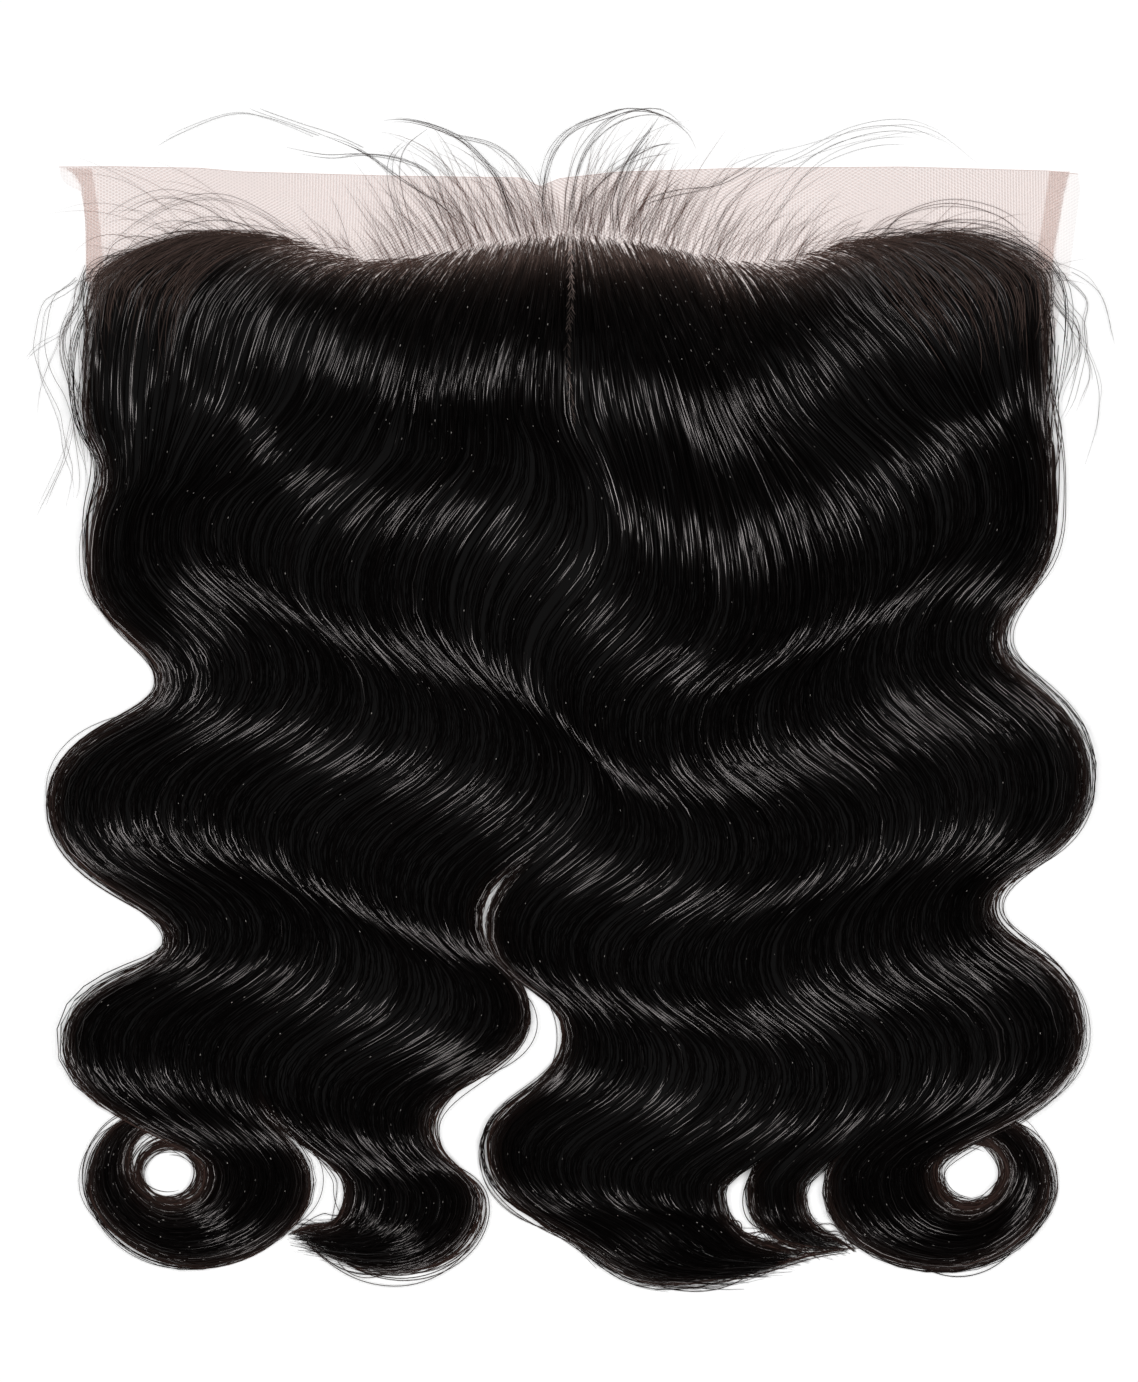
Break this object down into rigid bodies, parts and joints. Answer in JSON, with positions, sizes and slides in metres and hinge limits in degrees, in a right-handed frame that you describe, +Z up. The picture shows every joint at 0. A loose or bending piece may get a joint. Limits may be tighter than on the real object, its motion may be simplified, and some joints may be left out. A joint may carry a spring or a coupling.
{
  "type": "lace frontal hairpiece",
  "caption": "Ear-to-ear lace frontal lying flat: sheer lace band with taped ends and long body-wave hair combed back into locks with curled ends.",
  "frame": {"origin": "under the middle of the whole piece, on the surface that it lies on", "axes": "+Z up from the surface, +Y along the parting towards the bare front edge of the lace, +X to the right seen from above"},
  "size_m": [0.3383, 0.3604, 0.018],
  "materials": {
    "lace": "sheer pink-beige net",
    "tape": "double layer of the net, folded and sewn",
    "hair": "glossy black strands with grey highlights"
  },
  "bodies": {
    "root": {"lace_net": "lace", "end_tape_left": "tape", "end_tape_right": "tape", "lock_left_curl": "hair", "lock_left_tail": "hair", "lock_right_sweep": "hair", "lock_right_strip": "hair", "lock_right_curl": "hair"}
  },
  "joints": []
}
